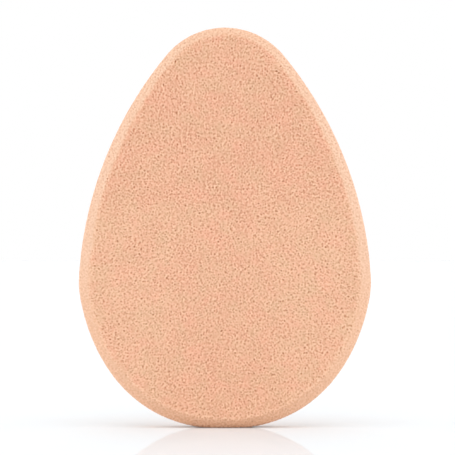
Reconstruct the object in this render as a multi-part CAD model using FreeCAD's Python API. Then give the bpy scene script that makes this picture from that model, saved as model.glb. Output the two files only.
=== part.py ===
import FreeCAD, Part
import math
import os

# Flat egg-shaped makeup sponge: one piece of fine-cell foam, cut to its outline from sheet and ground to a bevel
# round both faces. Sizes are in millimetres and angles in degrees. +Z runs up the sponge from its wide end to
# its tip, the front face looks along -Y, and the origin is on the floor under the middle of the foot.

# Overall sizes
LENGTH = 80.0             # floor to tip, as it stands on its wide end
WIDTH = 58.5              # across the hips, where it is widest
THICKNESS = 9.0           # front face to back face, the sheet that it is cut from

# Outline, from the tip down one side to the base
TIP_RADIUS = 15.2
FLANK_RADIUS = 77.0       # long side, tangent to the tip and to the hip
HIP_RADIUS = 18.0
HIP_HEIGHT = 29.1         # widest place above the floor
HIP_TURN = 10.5           # how far the hip arc goes on turning below the widest place
BELLY_REACH = 12.8        # how strongly the belly curve keeps the direction in which it leaves the hip
BASE_REACH = 18.4         # how strongly it keeps level at the middle of the base
FOOT_DEPTH = 0.3          # flattened off the base, so that it stands

# Ground edges
BEVEL_WIDTH = 2.1         # as seen from the front, in from the outline
BEVEL_DEPTH = 2.1         # as seen from the side, in from the face
FACE_EDGE_RADIUS = 0.8    # softened edge between a face and its bevel
RIM_EDGE_RADIUS = 1.0     # softened edge between a bevel and the rim

NODE = "sponge_body"


def point(x, z):
    """Point of the outline, in the sponge's middle plane."""
    return FreeCAD.Vector(x, 0, z)


def on_circle(centre, radius, angle):
    """Point of a circle at an angle in degrees, counted from +X towards +Z."""
    turn = math.radians(angle)
    return centre + point(radius * math.cos(turn), radius * math.sin(turn))


def direction(start, end):
    """Angle in degrees of the way from one point of the outline to another."""
    step = end - start
    return math.degrees(math.atan2(step.z, step.x))


def arc(centre, radius, start, end):
    """Arc of a circle between two angles in degrees."""
    angles = (start, (start + end) / 2, end)
    return Part.Arc(*(on_circle(centre, radius, angle) for angle in angles)).toShape()


def centre_round(upper, upper_radius, lower, lower_radius, radius):
    """Centre of the circle that has two circles inside it, both touching it on the +X side."""
    span = (lower - upper).Length
    upper_way = radius - upper_radius
    lower_way = radius - lower_radius
    along = (upper_way ** 2 - lower_way ** 2 + span ** 2) / (2 * span)
    across = math.sqrt(upper_way ** 2 - along ** 2)
    down = (lower - upper).normalize()
    return upper + down * along + point(down.z, -down.x) * across


def outline():
    """Closed outline of the sponge, from the top of the tip: tip, flank, hip and belly on each side, all tangent."""
    tip = point(0, LENGTH - TIP_RADIUS)
    hip = point(WIDTH / 2 - HIP_RADIUS, HIP_HEIGHT)
    flank = centre_round(tip, TIP_RADIUS, hip, HIP_RADIUS, FLANK_RADIUS)
    shoulder = direction(flank, tip)
    waist = direction(flank, hip)

    belly_start = on_circle(hip, HIP_RADIUS, -HIP_TURN)
    belly_pull = on_circle(belly_start, BELLY_REACH, -HIP_TURN - 90)
    base = point(0, -FOOT_DEPTH)
    belly = Part.BezierCurve()
    belly.setPoles([belly_start, belly_pull, base + point(BASE_REACH, 0), base])

    side = [
        arc(tip, TIP_RADIUS, 90, shoulder),
        arc(flank, FLANK_RADIUS, shoulder, waist),
        arc(hip, HIP_RADIUS, waist, -HIP_TURN),
        belly.toShape(),
    ]
    other_side = [edge.mirror(FreeCAD.Vector(), FreeCAD.Vector(1, 0, 0)) for edge in side]
    return Part.Wire(Part.sortEdges(side + other_side)[0])


def softened(before, corner, after, radius, share=0.4):
    """Arc tangent to both sides of a corner. A share of the shorter side is the most that it may take."""
    back = before - corner
    ahead = after - corner
    room = share * min(back.Length, ahead.Length)
    back.normalize()
    ahead.normalize()
    half_turn = (math.pi - back.getAngle(ahead)) / 2
    setback = min(radius * math.tan(half_turn), room)
    middle = corner + (back + ahead).normalize() * setback * math.tan(half_turn / 2)
    return Part.Arc(corner + back * setback, middle, corner + ahead * setback).toShape()


def edge_section():
    """Section of the sponge's edge at the top of the tip: face edge, bevel, rim edge, rim, and back to the other face."""
    half = THICKNESS / 2
    face_top = LENGTH - BEVEL_WIDTH
    rim_depth = half - BEVEL_DEPTH
    path = [
        FreeCAD.Vector(0, -half, HIP_HEIGHT),
        FreeCAD.Vector(0, -half, face_top),
        FreeCAD.Vector(0, -rim_depth, LENGTH),
        FreeCAD.Vector(0, rim_depth, LENGTH),
        FreeCAD.Vector(0, half, face_top),
        FreeCAD.Vector(0, half, HIP_HEIGHT),
    ]
    radii = [FACE_EDGE_RADIUS, RIM_EDGE_RADIUS, RIM_EDGE_RADIUS, FACE_EDGE_RADIUS]
    corners = [softened(*path[place:place + 3], radius) for place, radius in enumerate(radii)]
    edges = corners[:1]
    for last, following in zip(corners, corners[1:]):
        start = last.Vertexes[-1].Point
        end = following.Vertexes[0].Point
        edges += [Part.LineSegment(start, end).toShape(), following]
    return Part.Wire(edges)


def sponge_body():
    """The sponge: its edge carried round the outline, closed by the two flat faces, and flattened where it stands."""
    edge = Part.Shell(outline().makePipeShell([edge_section()], False, False).Faces)
    faces = [Part.Face(Part.Wire(loop)) for loop in Part.sortEdges(edge.getFreeEdges().Edges)]
    skin = Part.Shell(edge.Faces + faces)
    skin.sewShape()
    body = Part.Solid(skin)
    floor = Part.makeBox(WIDTH, THICKNESS, LENGTH, FreeCAD.Vector(-WIDTH / 2, -THICKNESS / 2, -LENGTH))
    return body.cut(floor).Solids[0]


os.makedirs("parts", exist_ok=True)
sponge_body().exportStep(f"parts/{NODE}.step")
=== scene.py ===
"""Flat egg-shaped makeup sponge of fine-cell foam, standing on its wide end on a white studio floor."""

import logging
from dataclasses import dataclass
from enum import Enum

import bpy
import numpy as np
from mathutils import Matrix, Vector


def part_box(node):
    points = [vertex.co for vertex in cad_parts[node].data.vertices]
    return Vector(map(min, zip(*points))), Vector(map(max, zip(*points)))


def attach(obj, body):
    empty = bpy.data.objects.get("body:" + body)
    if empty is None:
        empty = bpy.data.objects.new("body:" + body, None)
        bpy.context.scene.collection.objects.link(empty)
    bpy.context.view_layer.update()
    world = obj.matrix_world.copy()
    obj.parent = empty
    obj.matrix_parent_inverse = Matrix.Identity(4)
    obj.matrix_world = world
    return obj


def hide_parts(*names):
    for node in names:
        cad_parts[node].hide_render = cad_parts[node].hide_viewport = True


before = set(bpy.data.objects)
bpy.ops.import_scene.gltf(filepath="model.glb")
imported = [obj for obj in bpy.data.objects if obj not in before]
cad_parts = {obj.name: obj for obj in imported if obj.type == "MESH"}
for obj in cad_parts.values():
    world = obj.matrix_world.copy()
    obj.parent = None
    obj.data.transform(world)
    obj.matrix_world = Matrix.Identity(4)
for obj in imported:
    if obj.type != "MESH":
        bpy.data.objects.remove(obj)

LOG = logging.getLogger("makeup_sponge")
MM = 0.001
NODE = "sponge_body"
PIECE = "sponge_foam"

# Places of the first input, the second input and the result on a Mix node.
NUMBER_MIX = (2, 3, 0)
COLOUR_MIX = (6, 7, 2)

Colour = tuple[float, float, float]
Socket = bpy.types.NodeSocket
Given = Socket | float | tuple[float, ...]


class Face(Enum):
    """The two flat faces, by the way that each looks along Y."""

    FRONT = -1
    BACK = 1


class Blend(Enum):
    """How one colour goes over another."""

    MIX = "MIX"
    MULTIPLY = "MULTIPLY"


class Maths(Enum):
    """What is done with two numbers."""

    ADD = "ADD"
    MULTIPLY = "MULTIPLY"
    MAXIMUM = "MAXIMUM"


def smooth_step(share: np.ndarray) -> np.ndarray:
    """Smooth step from 0 to 1: t^2 (3 - 2t), with t the share kept between 0 and 1."""
    t = np.clip(share, 0.0, 1.0)
    return t**2 * (3 - 2 * t)


def walk(line: np.ndarray, shares: np.ndarray) -> np.ndarray:
    """Rows of a line at shares of its length, straight between the rows that it has.

    Args:
        line: Rows whose first two columns are places.
        shares: How far along the line the wanted rows are, 0 to 1.

    Returns:
        The wanted rows.
    """
    steps = np.linalg.norm(np.diff(line[:, :2], axis=0), axis=1)
    reach = np.concatenate([[0.0], np.cumsum(steps)])
    return np.stack([np.interp(shares * reach[-1], reach, column) for column in line.T], axis=1)


@dataclass(frozen=True)
class Nodes:
    """Node tree of the foam, the floor or the sky, with short ways to add what they need."""

    tree: bpy.types.NodeTree

    def feed(self, socket: Socket, given: Given) -> None:
        """Links an input, or sets its value.

        Args:
            socket: The input.
            given: Socket to link it to, or its value.
        """
        if isinstance(given, Socket):
            self.tree.links.new(given, socket)
        else:
            socket.default_value = given

    def add(self, kind: str, inputs: dict[int | str, Given]) -> bpy.types.Node:
        """Adds a node.

        Args:
            kind: Blender's name for the kind of node.
            inputs: What is given to its inputs, by their place or name.

        Returns:
            The node.
        """
        node = self.tree.nodes.new(kind)
        for place, given in inputs.items():
            self.feed(node.inputs[place], given)
        return node

    def attribute(self, name: str) -> Socket:
        """Reads one of the mesh's own attributes.

        Args:
            name: Name of the attribute.

        Returns:
            Socket with its value.
        """
        node = self.add("ShaderNodeAttribute", {})
        node.attribute_name = name
        return node.outputs["Fac"]

    def noise(self, place: Socket, scale: float, detail: float) -> Socket:
        """Noise by place, with so many patches to a metre and so many octaves of detail."""
        inputs = {"Vector": place, "Scale": scale, "Detail": detail}
        return self.add("ShaderNodeTexNoise", inputs).outputs["Fac"]

    def spread(self, source: Socket, low: float, high: float, least: float = 0.0, most: float = 1.0,
               smooth: bool = False) -> Socket:
        """Stretches a value's range, without going past its ends.

        Args:
            source: The value.
            low: Value that gives least.
            high: Value that gives most.
            least: Result at the low end.
            most: Result at the high end.
            smooth: Whether it goes from end to end by a smooth step, not straight.

        Returns:
            Socket with the result.
        """
        ends = {"From Min": low, "From Max": high, "To Min": least, "To Max": most}
        node = self.add("ShaderNodeMapRange", {"Value": source, **ends})
        node.interpolation_type = "SMOOTHSTEP" if smooth else "LINEAR"
        return node.outputs["Result"]

    def maths(self, kind: Maths, first: Given, second: Given) -> Socket:
        """Works out one number from two.

        Args:
            kind: What is done with them.
            first: First number.
            second: Second number.

        Returns:
            Socket with the result.
        """
        node = self.add("ShaderNodeMath", {0: first, 1: second})
        node.operation = kind.value
        return node.outputs[0]

    def mix(self, share: Socket, first: Socket | Colour, second: Socket | Colour,
            blend: Blend = Blend.MIX) -> Socket:
        """Mixes two colours.

        Args:
            share: Share of the second colour.
            first: Colour or socket.
            second: Colour or socket.
            blend: How the second goes over the first.

        Returns:
            Socket with the mixed colour.
        """
        node = self.add("ShaderNodeMix", {0: share})
        node.data_type = "RGBA"
        node.blend_type = blend.value
        *places, result = COLOUR_MIX
        for place, colour in zip(places, (first, second)):
            self.feed(node.inputs[place], (*colour, 1.0) if isinstance(colour, tuple) else colour)
        return node.outputs[result]

    def seen_rays(self) -> Socket:
        """Picks out what the camera sees, also in gloss or through glass.

        Returns:
            Socket that is 1 for such rays, and 0 for the others.
        """
        rays = self.add("ShaderNodeLightPath", {}).outputs
        either = self.maths(Maths.MAXIMUM, rays["Is Camera Ray"], rays["Is Glossy Ray"])
        return self.maths(Maths.MAXIMUM, either, rays["Is Transmission Ray"])


@dataclass(frozen=True)
class EggOutline:
    """Outline of the sponge in its middle plane: tip, flank, hip and belly on each side, all tangent.

    The tip, the flank and the hip are arcs of circles, the flank's circle holding the other two inside it. The
    belly is a cubic curve that leaves the hip along its tangent and is level at the middle of the base.
    """

    length: float
    width: float
    tip_radius: float = 15.2 * MM
    flank_radius: float = 77.0 * MM
    hip_radius: float = 18.0 * MM
    hip_height: float = 29.1 * MM
    hip_turn: float = np.radians(10.5)
    belly_reach: float = 12.8 * MM
    base_reach: float = 18.4 * MM
    foot_depth: float = 0.3 * MM
    samples: int = 4000

    @staticmethod
    def arc(centre: np.ndarray, radius: float, angles: np.ndarray) -> tuple[np.ndarray, np.ndarray]:
        """Points and outward normals of an arc: centre plus radius times (cos, sin) of each angle."""
        normals = np.stack([np.cos(angles), np.sin(angles)], axis=1)
        return centre + radius * normals, normals

    def flank_centre(self, tip: np.ndarray, hip: np.ndarray) -> np.ndarray:
        """Centre of the flank's circle.

        It lies flank radius less tip radius from the tip's centre, and flank radius less hip radius from the
        hip's centre, on the far side of the line between them.

        Args:
            tip: Centre of the tip's arc.
            hip: Centre of the hip's arc.

        Returns:
            Centre of the arc that touches both of them from outside.
        """
        tip_way = self.flank_radius - self.tip_radius
        hip_way = self.flank_radius - self.hip_radius
        span = np.linalg.norm(hip - tip)
        down = (hip - tip) / span
        along = (tip_way**2 - hip_way**2 + span**2) / (2 * span)
        return tip + down * along + np.array([down[1], -down[0]]) * np.sqrt(tip_way**2 - along**2)

    def belly(self, start: np.ndarray, way: np.ndarray) -> tuple[np.ndarray, np.ndarray]:
        """Cubic Bezier curve from the hip to the middle of the base, and its tangent turned outward.

        Args:
            start: Where the hip's arc ends.
            way: Direction in which the outline leaves the hip.

        Returns:
            Points and outward normals, hip first.
        """
        base = np.array([0.0, -self.foot_depth])
        poles = np.array([start, start + self.belly_reach * way, base + [self.base_reach, 0.0], base])
        t = np.linspace(0.0, 1.0, self.samples)[:, None]
        weights = np.hstack([(1 - t) ** 3, 3 * t * (1 - t) ** 2, 3 * t**2 * (1 - t), t**3])
        pulls = np.hstack([(1 - t) ** 2, 2 * t * (1 - t), t**2])
        tangent = pulls @ np.diff(poles, axis=0)
        normals = np.stack([-tangent[:, 1], tangent[:, 0]], axis=1)
        return weights @ poles, normals / np.linalg.norm(normals, axis=1, keepdims=True)

    def stations(self, count: int) -> tuple[np.ndarray, np.ndarray]:
        """Places round the outline, equally far apart along it, from the top of the tip towards +X.

        Args:
            count: How many places.

        Returns:
            Points and outward unit normals, each as an array of (x, z).
        """
        tip = np.array([0.0, self.length - self.tip_radius])
        hip = np.array([self.width / 2 - self.hip_radius, self.hip_height])
        flank = self.flank_centre(tip, hip)
        shoulder = np.arctan2(*(tip - flank)[::-1])
        waist = np.arctan2(*(hip - flank)[::-1])
        hip_arc = self.arc(hip, self.hip_radius, np.linspace(waist, -self.hip_turn, self.samples))
        way = np.array([-np.sin(self.hip_turn), -np.cos(self.hip_turn)])
        runs = [
            self.arc(tip, self.tip_radius, np.linspace(np.pi / 2, shoulder, self.samples)),
            self.arc(flank, self.flank_radius, np.linspace(shoulder, waist, self.samples)),
            hip_arc,
            self.belly(hip_arc[0][-1], way),
        ]
        side = np.vstack([np.hstack(run) for run in runs])
        whole = np.vstack([side, side[::-1] * [-1, 1, -1, 1]])
        found = walk(whole, np.arange(count) / count)
        normals = found[:, 2:]
        return found[:, :2], normals / np.linalg.norm(normals, axis=1, keepdims=True)


@dataclass(frozen=True)
class EdgeSection:
    """Section across the sponge's edge: margin of the face, bevel, rim, and the same to the other face."""

    thickness: float
    bevel_width: float = 2.1 * MM
    bevel_depth: float = 2.1 * MM
    margin: float = 2.2 * MM
    face_edge: float = 0.75 * MM
    rim_edge: float = 0.6 * MM
    samples: int = 200

    def rows(self, count: int) -> np.ndarray:
        """The section's line as rows, equally far apart along it.

        It is straight from corner to corner, and each corner is softened by a parabola that starts and ends the
        corner's setback away from it: (1-t)^2 start + 2t(1-t) corner + t^2 end.

        Args:
            count: How many rows.

        Returns:
            Array of (distance in from the outline, place along Y), front face first.
        """
        half = self.thickness / 2
        rim = half - self.bevel_depth
        path = np.array([
            [self.bevel_width + self.margin, -half],
            [self.bevel_width, -half],
            [0.0, -rim],
            [0.0, rim],
            [self.bevel_width, half],
            [self.bevel_width + self.margin, half],
        ])
        setbacks = np.array([self.face_edge, self.rim_edge, self.rim_edge, self.face_edge])[:, None]
        legs = np.diff(path, axis=0)
        legs /= np.linalg.norm(legs, axis=1, keepdims=True)
        corner = path[1:-1]
        start = corner - setbacks * legs[:-1]
        end = corner + setbacks * legs[1:]
        t = np.linspace(0.0, 1.0, self.samples)[:, None, None]
        line = (1 - t) ** 2 * start + 2 * t * (1 - t) * corner + t**2 * end
        line = np.vstack([path[:1], line.transpose(1, 0, 2).reshape(-1, 2), path[-1:]])
        return walk(line, np.linspace(0.0, 1.0, count))


@dataclass(frozen=True)
class FoamCells:
    """Open cells of cut foam: one pit in each box of a square lattice, off its middle and of its own depth."""

    pitch: float
    radius: float
    seed: int
    reach: int = 2
    depth_power: float = 1.4

    def relief(self, u: np.ndarray, v: np.ndarray, span: float) -> np.ndarray:
        """How low the cut surface lies, as pits with a raised ring round each.

        A pit that is d away and h deep adds h * (1 - q) * e^-q, where q = d^2 / (2 radius^2). That is a hollow
        with a low wall round it, and where walls meet they add up to the ridges between the cells.

        Args:
            u: First place on the lattice.
            v: Second place on the lattice.
            span: Way along u after which the lattice repeats.

        Returns:
            Depth at each place, with mean 0 and a spread of 1.
        """
        across = round(span / self.pitch)
        near = 2 * self.reach + 1
        place_u = u * across / span
        place_v = (v - v.min()) / self.pitch
        home_u, home_v = np.floor(place_u).astype(int), np.floor(place_v).astype(int)
        up = home_v.max() + near
        rng = np.random.default_rng(self.seed)
        middle_u, middle_v = rng.random((2, across, up))
        height = rng.random((across, up)) ** self.depth_power
        scale = self.pitch**2 / (2 * self.radius**2)
        depth = np.zeros(u.shape)
        for step_u, step_v in np.ndindex(near, near):
            box_u, box_v = home_u + step_u - self.reach, home_v + step_v - self.reach
            key = (box_u % across, box_v + self.reach)
            away = (place_u - box_u - middle_u[key]) ** 2 + (place_v - box_v - middle_v[key]) ** 2
            depth += height[key] * (1 - scale * away) * np.exp(-scale * away)
        return (depth - depth.mean()) / depth.std()


@dataclass(frozen=True)
class RoundProfile:
    """Value that changes round the outline, alike on both sides.

    Each mark is a place, as a share of the whole way round from the tip at 0 to the base at 0.5, and the value
    there. The value runs straight from mark to mark.
    """

    marks: tuple[tuple[float, float], ...]

    def at(self, columns: int) -> np.ndarray:
        """Value at each column of the belt, by the shorter way round from the tip."""
        turn = np.arange(columns) / columns
        return np.interp(0.5 - np.abs(turn - 0.5), *np.transpose(self.marks))


@dataclass(frozen=True)
class Grinding:
    """What the grinding of the bevels leaves: an uneven width, worn cells, and marks along their inner edge.

    The profiles are the bevel's width as a share of its usual one, how much of the cells' depth is worn off,
    how warm the ground tone is, how high the ridge is, and how deep the cells inside it are torn.
    """

    torn_cells: FoamCells
    width: RoundProfile = RoundProfile(
        ((0.0, 0.78), (0.10, 0.95), (0.20, 1.02), (0.30, 1.08), (0.355, 0.98), (0.43, 1.10), (0.5, 0.98))
    )
    wear: RoundProfile = RoundProfile(
        ((0.0, 0.36), (0.08, 0.26), (0.20, 0.34), (0.26, 0.52), (0.40, 0.54), (0.45, 0.38), (0.5, 0.32))
    )
    warmth: RoundProfile = RoundProfile(((0.0, 1.0), (0.05, 0.0), (0.26, 0.0), (0.33, 1.0), (0.5, 1.0)))
    ridge: RoundProfile = RoundProfile((
        (0.0, 0.0), (0.22, 0.0), (0.26, 0.3), (0.31, 0.2), (0.35, 0.5),
        (0.40, 0.8), (0.44, 1.0), (0.48, 1.1), (0.5, 1.1),
    ))
    tear: RoundProfile = RoundProfile((
        (0.0, 0.3), (0.02, 0.7), (0.05, 0.9), (0.10, 0.8), (0.14, 0.4),
        (0.20, 0.3), (0.35, 0.3), (0.40, 0.35), (0.44, 0.5), (0.5, 0.4),
    ))
    wave_height: float = 0.06
    waves: range = range(9, 90, 4)
    wave_seed: int = 11
    reach: float = 0.45 * MM
    fade: float = 1.0 * MM
    ridge_width: float = 0.28 * MM
    ridge_break: float = 0.5
    tear_width: float = 0.4 * MM
    tear_start: float = 0.2

    def band_scale(self, columns: int) -> np.ndarray:
        """Width of the bevel round the outline, as a share of its usual one.

        It is the profile of widths, made uneven by a few sine waves round the outline.

        Args:
            columns: How many columns the belt has.

        Returns:
            Share for each column.
        """
        turn = np.arange(columns) / columns
        rng = np.random.default_rng(self.wave_seed)
        waves = np.array(self.waves)[:, None]
        phases = rng.random(waves.shape)
        heights = rng.normal(size=waves.shape) / np.sqrt(len(waves))
        uneven = (heights * np.sin(2 * np.pi * (waves * turn + phases))).sum(axis=0)
        return self.width.at(columns) * (1 + self.wave_height * uneven)

    def share(self, past: np.ndarray) -> np.ndarray:
        """How much the foam is ground: a smooth step down to nothing, past the bevel's inner edge."""
        return smooth_step((self.reach - past) / self.fade)

    def marks(self, past: np.ndarray, columns: int, girth: float) -> np.ndarray:
        """Marks along the bevel's inner edge: a low ridge, and cells torn open inside it.

        Each follows a bell curve e^-(d / width)^2 of the way d from its own line along the edge, and a lattice
        of wide cells breaks it up. The ridge is highest at the base, and the cells are torn deepest beside the
        tip. The ridge is raised in the mesh and also takes the painted highlight of the wall tone, and the torn
        cells take the painted shade of the cell tone.

        Args:
            past: How far in past the bevel's inner edge each row of the belt is.
            columns: How many columns the belt has.
            girth: Length of the outline.

        Returns:
            Depth for each row and column, in the same measure as the cells' depth.
        """
        round_way = np.tile(np.arange(columns) * girth / columns, len(past))
        wide = self.torn_cells.relief(round_way, np.repeat(past, columns), girth).reshape(-1, columns)
        away = past[:, None]
        crest = self.ridge.at(columns) * np.exp(-(((away - self.ridge_width / 2) / self.ridge_width) ** 2))
        opened = self.tear.at(columns) * np.exp(-(((away - self.tear_width) / self.tear_width) ** 2))
        broken = 1 + self.ridge_break * np.clip(wide, -1.0, 1.0)
        return opened * np.maximum(wide - self.tear_start, 0.0) - crest * broken


@dataclass(frozen=True)
class FoamFinish:
    """Matt, pale pink-beige foam in soft patches of close tones.

    It is painted darker in its cells and lighter on their walls, a painted shade and highlight over the relief,
    and has a tone of its own and a faint shine where it is ground. Painted light makes it paler and sandier
    towards the two wide sides. The depths of cell and wall are those at which their painted shade and
    highlight are full, in spreads of the cells' depth.
    """

    rosy: Colour = (0.808, 0.4265, 0.283)
    sandy: Colour = (0.773, 0.483, 0.3055)
    # Pale tone, laid in random patches and, with the painted side light, over the wide sides.
    pale: Colour = (1.115, 1.08, 1.13)
    hue_scale: float = 320.0
    pale_scale: float = 250.0
    patch_detail: float = 2.0
    patch_low: float = 0.35
    patch_high: float = 0.65
    # Share of the hue and the pale tone that the painted side light sets.
    side_light_share: float = 0.375
    ground: Colour = (0.774, 0.451, 0.278)
    ground_warm: Colour = (0.789, 0.439, 0.258)
    # Painted shade darkens the cells and a painted highlight lightens their walls.
    painted_cell_shade: Colour = (0.540, 0.222, 0.110)
    cell_depth: float = 4.3
    painted_wall_highlight: Colour = (0.975, 0.650, 0.455)
    wall_depth: float = -1.85
    grain_scale: float = 2600.0
    grain_detail: float = 3.0
    grain_strength: float = 0.35
    grain_depth: float = 0.06 * MM
    roughness: float = 0.92
    specular: float = 0.12
    ground_coat: float = 1.0
    coat_roughness: float = 0.4
    coat_ior: float = 1.75
    sheen: float = 0.08
    sheen_roughness: float = 0.5
    sheen_tint: Colour = (1.0, 0.94, 0.89)

    def patches(self, nodes: Nodes, place: Socket, scale: float, painted_side_light: Socket) -> Socket:
        """Share that follows soft patches of noise, and is higher where painted light makes the foam paler.

        Args:
            nodes: Tree of the material.
            place: Object coordinates.
            scale: Patches to a metre.
            painted_side_light: Share of painted side light there, 0 to 1.

        Returns:
            Socket with the share, 0 to 1.
        """
        noise = nodes.noise(place, scale, self.patch_detail)
        patch = nodes.spread(noise, self.patch_low, self.patch_high, most=1 - self.side_light_share)
        return nodes.maths(Maths.ADD, patch, nodes.spread(painted_side_light, 0.0, 1.0, most=self.side_light_share))

    def material(self) -> bpy.types.Material:
        """The foam's material.

        Returns:
            Material that reads the attributes pore, ground and warm, the share of painted side light, and
            Object coordinates.
        """
        made = bpy.data.materials.new("foam")
        made.use_nodes = True
        nodes = Nodes(made.node_tree)
        place = nodes.add("ShaderNodeTexCoord", {}).outputs["Object"]
        pore, ground, warm, painted_side_light = (nodes.attribute(name) for name in ("pore", "ground", "warm", "painted_side_light"))

        # Hue patches are the foam's own; the painted side light pushes the tone towards sandy at the wide
        # sides.
        hue = nodes.mix(self.patches(nodes, place, self.hue_scale, painted_side_light), self.rosy, self.sandy)
        # Paler patches, and painted light that makes the wide sides paler.
        paler = self.patches(nodes, place, self.pale_scale, painted_side_light)
        tone = nodes.mix(paler, hue, self.pale, Blend.MULTIPLY)
        worn = nodes.mix(ground, tone, nodes.mix(warm, self.ground, self.ground_warm))
        # Painted shade: deeper cells take the darker tone, beside the shade of the sunk mesh.
        hollow = nodes.mix(nodes.spread(pore, 0.0, self.cell_depth), worn, self.painted_cell_shade)
        # Painted highlight: the walls and the bevel's ridge take the lighter tone.
        raised = nodes.mix(nodes.spread(pore, 0.0, self.wall_depth), hollow, self.painted_wall_highlight)
        bump = nodes.add("ShaderNodeBump", {
            "Strength": self.grain_strength,
            "Distance": self.grain_depth,
            "Height": nodes.noise(place, self.grain_scale, self.grain_detail),
        })
        shader = made.node_tree.nodes["Principled BSDF"]
        for name, given in (
            ("Base Color", raised),
            ("Normal", bump.outputs["Normal"]),
            ("Roughness", self.roughness),
            ("Specular IOR Level", self.specular),
            ("Coat Weight", nodes.spread(ground, 0.0, 1.0, most=self.ground_coat)),
            ("Coat Roughness", self.coat_roughness),
            ("Coat IOR", self.coat_ior),
            ("Sheen Weight", self.sheen),
            ("Sheen Roughness", self.sheen_roughness),
            ("Sheen Tint", (*self.sheen_tint, 1.0)),
        ):
            nodes.feed(shader.inputs[name], given)
        return made


@dataclass
class Sponge:
    """The sponge: a grid on each flat face and a belt round the edge between, with the foam's cells sunk in.

    The cells' depth is counted in spreads, each as long as cell_depth, and what is more than flat_top spreads
    higher than the mean is cut flat. The coarse cells and the grinding of the rim have their own shares, and
    lattice_room is how many widths of lattice there are for a face.
    """

    outline: EggOutline
    section: EdgeSection
    grinding: Grinding
    fine: FoamCells
    coarse: FoamCells
    half_grid: int = 216
    belt_rows: int = 112
    lattice_room: float = 4.0
    cell_depth: float = 0.042 * MM
    coarse_share: float = 0.42
    flat_top: float = 1.0
    rim_start: float = 0.6
    rim_fade: float = 0.4
    rim_share: float = 0.7
    foot_soften: float = 0.06 * MM
    # Where the painted side light falls: the face is painted paler low down at the wide sides.
    side_light_top: float = 50.0 * MM
    side_light_inner: float = 3.0 * MM
    side_light_fade: float = 12.0 * MM
    side_light_middle: float = 0.25
    map_gap: float = 2.0 * MM

    @property
    def columns(self) -> int:
        """How many columns the belt has: the places round a face's outermost ring."""
        return 8 * self.half_grid

    @property
    def face_points(self) -> int:
        """How many points a face's grid has."""
        return (2 * self.half_grid + 1) ** 2

    def girth(self) -> float:
        """Length of the outline."""
        points, _ = self.outline.stations(self.columns)
        return float(np.linalg.norm(points - np.roll(points, 1, axis=0), axis=1).sum())

    def belt(self) -> np.ndarray:
        """Belt round the edge: at each column of the outline, the section's rows laid in along its normal.

        Returns:
            Array of rows by columns of (x, y, z), from the front face's edge to the back face's.
        """
        points, normals = self.outline.stations(self.columns)
        rows = self.section.rows(self.belt_rows + 1)
        inset = rows[:, :1] * self.grinding.band_scale(self.columns)
        flat = points - inset[:, :, None] * normals
        along = np.repeat(rows[:, 1:], self.columns, axis=1)
        return np.dstack([flat[:, :, 0], along, flat[:, :, 1]])

    @staticmethod
    def belt_normals(belt: np.ndarray) -> np.ndarray:
        """Outward normals of the belt: the way along it crossed with the way over it, brought to length 1.

        Args:
            belt: Its points, by row and column.

        Returns:
            Normals, by row and column.
        """
        tangent = np.roll(belt, -1, axis=1) - np.roll(belt, 1, axis=1)
        normals = np.cross(tangent, np.gradient(belt, axis=0))
        return normals / np.linalg.norm(normals, axis=2, keepdims=True)

    def rings(self) -> tuple[np.ndarray, np.ndarray]:
        """Square rings of a face's grid.

        A grid place (a, b) is on ring max(|a|, |b|), and its turn is how far it is along that square's sides
        from the middle of the top, as a share of the whole way round.

        Returns:
            Ring number and turn of each place of the grid, as flat arrays.
        """
        steps = np.arange(-self.half_grid, self.half_grid + 1)
        b, a = np.meshgrid(steps, steps, indexing="ij")
        ring = np.maximum(np.abs(a), np.abs(b))
        whole = 8 * np.maximum(ring, 1)
        sides = [b == ring, a == ring, b == -ring]
        way = np.select(sides, [a % whole, 2 * ring - b, 4 * ring - a], 6 * ring + b)
        return ring.ravel(), (way / whole).ravel()

    def face(self, edge: np.ndarray) -> np.ndarray:
        """Flat face: its edge drawn in towards the middle, ring by ring.

        Args:
            edge: The face's edge, as (x, y, z) for each column of the belt.

        Returns:
            Points of the grid.
        """
        ring, turn = self.rings()
        middle = edge.mean(axis=0)
        columns = np.arange(len(edge)) / len(edge)
        rim = np.stack([np.interp(turn, columns, axis, period=1.0) for axis in edge.T], axis=1)
        return middle + (ring / self.half_grid)[:, None] * (rim - middle)

    def grid_triangles(self, way: Face) -> np.ndarray:
        """Triangles of a face's grid, each box cut along the line that runs out from the middle.

        Args:
            way: Which face.

        Returns:
            Array of three grid places for each triangle.
        """
        side = 2 * self.half_grid + 1
        b, a = np.meshgrid(np.arange(side - 1), np.arange(side - 1), indexing="ij")
        low_left = (b * side + a).ravel()
        box = np.stack([low_left, low_left + 1, low_left + side + 1, low_left + side], axis=1)
        rising = ((a < self.half_grid) == (b < self.half_grid)).ravel()
        first = np.where(rising[:, None], box[:, [0, 1, 2]], box[:, [0, 1, 3]])
        second = np.where(rising[:, None], box[:, [0, 2, 3]], box[:, [1, 2, 3]])
        both = np.vstack([first, second])
        return both if way is Face.FRONT else both[:, ::-1]

    def belt_boxes(self) -> tuple[np.ndarray, np.ndarray]:
        """Triangles of the belt, as rows and columns that are not yet brought back round.

        Returns:
            Row and column of each triangle's three corners.
        """
        grid = np.meshgrid(np.arange(self.belt_rows), np.arange(self.columns), indexing="ij")
        i, j = (places.ravel() for places in grid)
        rows = np.vstack([np.stack([i, i, i + 1], axis=1), np.stack([i, i + 1, i + 1], axis=1)])
        cols = np.vstack([np.stack([j, j + 1, j + 1], axis=1), np.stack([j, j + 1, j], axis=1)])
        return rows, cols

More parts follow.
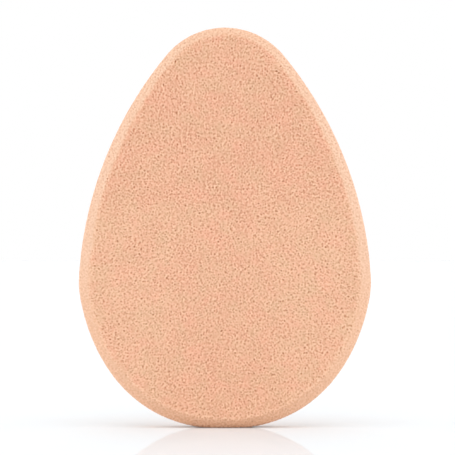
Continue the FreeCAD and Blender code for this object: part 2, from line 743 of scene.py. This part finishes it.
    def belt_points(self) -> np.ndarray:
        """Which point stands at each row and column of the belt, whose outer rows are the faces' edges.

        Returns:
            Number of each point, by row and column.
        """
        ring, turn = self.rings()
        border = np.flatnonzero(ring == self.half_grid)
        border = border[np.argsort(turn[border])]
        inner = np.arange((self.belt_rows - 1) * self.columns).reshape(-1, self.columns)
        return np.vstack([border, 2 * self.face_points + inner, self.face_points + border])

    def laid(self, values: np.ndarray) -> np.ndarray:
        """Values by row or column of the belt, laid on the whole surface with 0 on the faces."""
        belt = np.broadcast_to(values, (self.belt_rows - 1, self.columns))
        return np.concatenate([np.zeros(2 * self.face_points), belt.ravel()])

    def relief(self, points: np.ndarray, rim: np.ndarray, round_way: np.ndarray) -> np.ndarray:
        """How low the cells make the surface: laid flat on the faces and bevels, and wrapped round the rim.

        The two are blended as the surface turns from one to the other, by the square roots of their shares, so
        that the cells keep their strength. The front and the back have places of their own on the flat lattice.

        Args:
            points: Places of the smooth surface.
            rim: How much each place is on the rim, 0 to 1.
            round_way: Way round the outline of each place, as a length.

        Returns:
            Depth at each place, with a spread of about 1.
        """
        girth = self.girth()
        room = self.lattice_room * self.outline.width
        flat = points[:, 0] + room / 2 + np.where(points[:, 1] > 0, room / 2, 0.0)
        turned = rim > 0
        depth = np.zeros(len(points))
        for cells, share in ((self.fine, 1.0), (self.coarse, self.coarse_share)):
            pits = cells.relief(flat, points[:, 2], 2 * room) * np.sqrt(1 - rim)
            pits[turned] += cells.relief(round_way[turned], points[turned, 1], girth) * np.sqrt(rim[turned])
            depth += share * pits
        return depth / np.hypot(1.0, self.coarse_share)

    def painted_side_light(self, points: np.ndarray) -> np.ndarray:
        """Share of painted light: paler and sandier at the two wide sides, and darker and rosier at the tip
        and down the middle.

        It is a smooth step down from the waist, times a smooth step out from the middle that starts at the
        middle's own share.

        Args:
            points: Places of the smooth surface.

        Returns:
            Share at each place, 0 to 1.
        """
        # Painted light: the face's tone goes paler low down at the wide sides.
        low = smooth_step((self.side_light_top - points[:, 2]) / self.side_light_fade)
        wide = smooth_step((np.abs(points[:, 0]) - self.side_light_inner) / self.side_light_fade)
        return low * (self.side_light_middle + (1 - self.side_light_middle) * wide)

    def foam(self, points: np.ndarray, outward: np.ndarray) -> dict[str, np.ndarray]:
        """What the foam is like: how low its cells make it, how much it is ground, how warm, and how much
        painted light makes it paler.

        A place is on the rim where its normal leans little along Y, and there it is ground less. The cells are
        as deep as the grinding leaves them, and its marks are added.

        Args:
            points: Places of the smooth surface.
            outward: Way out of it at each of them.

        Returns:
            Values of the attributes pore, ground and warm, and the share of painted side light.
        """
        past = self.section.rows(self.belt_rows + 1)[1:-1, 0] - self.section.bevel_width
        girth, columns = self.girth(), self.columns
        rim = np.clip((self.rim_start - np.abs(outward[:, 1])) / self.rim_fade, 0.0, 1.0)
        ground = self.laid(self.grinding.share(past)[:, None]) * (1 - self.rim_share * rim)
        worn = self.laid(self.grinding.wear.at(columns)) * ground
        marks = self.laid(self.grinding.marks(past, columns, girth))
        pits = self.relief(points, rim, self.laid(np.arange(columns) * girth / columns))
        return {
            "pore": pits * (1 - worn) + marks,
            "ground": ground,
            "warm": self.laid(self.grinding.warmth.at(columns)),
            "painted_side_light": self.painted_side_light(points),
        }

    def build(self) -> bpy.types.Object:
        """Builds the sponge's mesh: the smooth surface, sunk along its normals by the cells' depth.

        The foot is bent flat on the floor: a height z becomes half of z plus the root of z^2 + foot_soften^2.

        Returns:
            Object at the origin, with the attributes pore, ground and warm, the share of painted side light,
            and a texture map.
        """
        belt = self.belt()
        points = np.vstack([self.face(belt[0]), self.face(belt[-1]), belt[1:-1].reshape(-1, 3)])
        outward = np.vstack([
            *(np.tile([0.0, float(way.value), 0.0], (self.face_points, 1)) for way in Face),
            self.belt_normals(belt)[1:-1].reshape(-1, 3),
        ])
        values = self.foam(points, outward)
        sunk = self.cell_depth * np.maximum(values["pore"] + self.flat_top, 0.0)
        places = points - sunk[:, None] * outward
        places[:, 2] = (places[:, 2] + np.hypot(places[:, 2], self.foot_soften)) / 2

        front, back = (self.grid_triangles(way) for way in Face)
        grids = np.vstack([front, self.face_points + back])
        rows, cols = self.belt_boxes()
        faces = np.vstack([grids, self.belt_points()[rows, cols % self.columns]])
        mesh = bpy.data.meshes.new(PIECE)
        mesh.vertices.add(len(places))
        mesh.vertices.foreach_set("co", places.astype(np.float32).ravel())
        mesh.loops.add(faces.size)
        mesh.loops.foreach_set("vertex_index", faces.astype(np.int32).ravel())
        mesh.polygons.add(len(faces))
        mesh.polygons.foreach_set("loop_start", np.arange(0, faces.size, 3, dtype=np.int32))
        mesh.update(calc_edges=True)
        mesh.shade_smooth()
        for name, value in values.items():
            mesh.attributes.new(name, "FLOAT", "POINT").data.foreach_set("value", value.astype(np.float32))
        corners = self.map_corners(points, grids, rows, cols)
        mesh.uv_layers.new(name="OFBake").uv.foreach_set("vector", corners.astype(np.float32).ravel())
        made = bpy.data.objects.new(PIECE, mesh)
        bpy.context.scene.collection.objects.link(made)
        return made

    def map_corners(self, points: np.ndarray, grids: np.ndarray, rows: np.ndarray,
                    cols: np.ndarray) -> np.ndarray:
        """Texture map: both faces side by side as seen from the front, and the belt in two strips above them.

        Args:
            points: Places of the smooth surface.
            grids: Triangles of the two faces.
            rows: Row of each corner of the belt's triangles.
            cols: Column of each corner of the belt's triangles.

        Returns:
            Place on the map for each corner of each triangle.
        """
        gap, half = self.map_gap, self.columns // 2
        wide, high = self.outline.width + gap, self.outline.length + gap
        flat = points[:, [0, 2]] + [gap + self.outline.width / 2, gap]
        faces = flat[grids] + np.where(grids >= self.face_points, wide, 0.0)[..., None] * [1.0, 0.0]
        strip = (cols.min(axis=1) >= half)[:, None]
        tall = 2 * self.section.thickness
        belt = np.stack([
            gap + (cols - half * strip) * (2 * wide - 2 * gap) / half,
            high + gap + strip * (tall + gap) + rows * tall / self.belt_rows,
        ], axis=-1)
        span = max(2 * wide + gap, high + 2 * tall + 4 * gap)
        return np.vstack([faces.reshape(-1, 2), belt.reshape(-1, 2)]) / span

    def dress(self, piece: bpy.types.Object, finish: FoamFinish) -> None:
        """Gives the sponge its foam, and sets it on the frame.

        Args:
            piece: The sponge.
            finish: Its finish.
        """
        piece.data.materials.append(finish.material())
        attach(piece, "root")
        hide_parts(NODE)


@dataclass(frozen=True)
class Glow:
    """Soft round light in the sky: where its middle is, how bright, and where it begins and ends to fade."""

    turn: float
    lift: float
    strength: float
    core: float = 10.0
    edge: float = 35.0

    def middle(self) -> tuple[float, float, float]:
        """Direction of its middle: turned from the front towards +X and lifted off the floor, in degrees."""
        turn, lift = np.radians(self.turn), np.radians(self.lift)
        return float(np.cos(lift) * np.sin(turn)), float(-np.cos(lift) * np.cos(turn)), float(np.sin(lift))

    def level(self, nodes: Nodes, way: Socket) -> Socket:
        """Brightness by direction, a smooth step in the cosine of the angle from its middle.

        Args:
            nodes: Tree of the world.
            way: Direction in the sky.

        Returns:
            Socket with the brightness.
        """
        dot = nodes.add("ShaderNodeVectorMath", {0: way, 1: self.middle()})
        dot.operation = "DOT_PRODUCT"
        edge, core = np.cos(np.radians([self.edge, self.core]))
        return nodes.spread(dot.outputs["Value"], edge, core, most=self.strength, smooth=True)


@dataclass(frozen=True)
class FloorFinish:
    """Plain white floor that gives back most of the light, with a faint gloss at a low angle."""

    seen: Colour = (0.852, 0.890, 0.918)
    bounce: float = 0.92
    gloss: float = 0.29
    gloss_roughness: float = 0.02

    def material(self) -> bpy.types.Material:
        """The floor's material.

        Returns:
            Material of one white for the camera and another for the light that the floor gives back.
        """
        made = bpy.data.materials.new("studio_floor")
        made.use_nodes = True
        made.node_tree.nodes.clear()
        nodes = Nodes(made.node_tree)
        white = nodes.mix(nodes.seen_rays(), (self.bounce,) * 3, self.seen)
        matt = nodes.add("ShaderNodeBsdfDiffuse", {"Color": white}).outputs[0]
        gloss = nodes.add("ShaderNodeBsdfGlossy", {"Roughness": self.gloss_roughness}).outputs[0]
        facing = nodes.add("ShaderNodeLayerWeight", {}).outputs["Facing"]
        share = nodes.maths(Maths.MULTIPLY, facing, self.gloss)
        both = nodes.add("ShaderNodeMixShader", {0: share, 1: matt, 2: gloss}).outputs[0]
        nodes.add("ShaderNodeOutputMaterial", {"Surface": both})
        return made


@dataclass(frozen=True)
class Studio:
    """White floor, soft light from the front, both sides and high behind, and the camera straight in front."""

    view_size: float = 91.3 * MM
    camera_x: float = 0.52 * MM
    camera_height: float = 40.0 * MM
    camera_distance: float = 0.6
    clip_near: float = 0.01
    clip_far: float = 20.0
    sky: float = 0.35
    sky_seen: float = 1.0
    glows: tuple[Glow, ...] = (
        Glow(turn=0.0, lift=60.0, strength=1.59, core=15.0, edge=45.0),
        Glow(turn=90.0, lift=18.0, strength=2.62),
        Glow(turn=-90.0, lift=18.0, strength=2.62),
        Glow(turn=180.0, lift=47.0, strength=1.52),
    )
    floor_reach: float = 3.0

    def floor(self, finish: FloorFinish) -> bpy.types.Object:
        """Floor: a square at height 0.

        Args:
            finish: Its finish.

        Returns:
            The floor.
        """
        ends = [-self.floor_reach, self.floor_reach]
        u, v = np.meshgrid(ends, ends)
        places = np.stack([u.ravel(), v.ravel(), np.zeros(u.size)], axis=1)
        mesh = bpy.data.meshes.new("floor")
        mesh.from_pydata(places.tolist(), [], [(0, 1, 3, 2)])
        mesh.materials.append(finish.material())
        made = bpy.data.objects.new("floor", mesh)
        bpy.context.scene.collection.objects.link(made)
        return made

    def light(self) -> None:
        """Dim even sky with the soft glows added, seen as plain white."""
        world = bpy.data.worlds.new("studio")
        bpy.context.scene.world = world
        world.use_nodes = True
        nodes = Nodes(world.node_tree)
        way = nodes.add("ShaderNodeTexCoord", {}).outputs["Generated"]
        level = self.sky
        for glow in self.glows:
            level = nodes.maths(Maths.ADD, glow.level(nodes, way), level)
        lit, seen, result = NUMBER_MIX
        shown = nodes.add("ShaderNodeMix", {0: nodes.seen_rays(), lit: level, seen: self.sky_seen})
        back = world.node_tree.nodes["Background"]
        nodes.feed(back.inputs["Color"], (1.0, 1.0, 1.0, 1.0))
        nodes.feed(back.inputs["Strength"], shown.outputs[result])

    def camera(self) -> bpy.types.Object:
        """Camera level with the middle of the picture, square to the front face.

        Returns:
            The scene's camera.
        """
        lens = bpy.data.cameras.new("camera")
        lens.lens = lens.sensor_width * self.camera_distance / self.view_size
        lens.clip_start, lens.clip_end = self.clip_near, self.clip_far
        made = bpy.data.objects.new("camera", lens)
        made.location = (self.camera_x, -self.camera_distance, self.camera_height)
        made.rotation_euler = (np.pi / 2, 0.0, 0.0)
        bpy.context.scene.collection.objects.link(made)
        bpy.context.scene.camera = made
        return made


def main() -> None:
    logging.basicConfig(level=logging.INFO, format="%(name)s: %(message)s")
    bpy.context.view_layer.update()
    low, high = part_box(NODE)
    size = high - low
    bpy.context.scene.view_settings.view_transform = "Standard"

    studio = Studio()
    studio.camera()
    studio.light()
    LOG.info("stage %s", studio.floor(FloorFinish()).name)

    sponge = Sponge(
        outline=EggOutline(length=size.z, width=size.x),
        section=EdgeSection(thickness=size.y),
        grinding=Grinding(torn_cells=FoamCells(pitch=0.90 * MM, radius=0.2 * MM, seed=7)),
        fine=FoamCells(pitch=0.34 * MM, radius=0.155 * MM, seed=3),
        coarse=FoamCells(pitch=0.58 * MM, radius=0.26 * MM, seed=5),
    )
    piece = sponge.build()
    sponge.dress(piece, FoamFinish())
    LOG.info("piece %s: %d triangles", piece.name, len(piece.data.polygons))


if __name__ == "__main__":
    main()
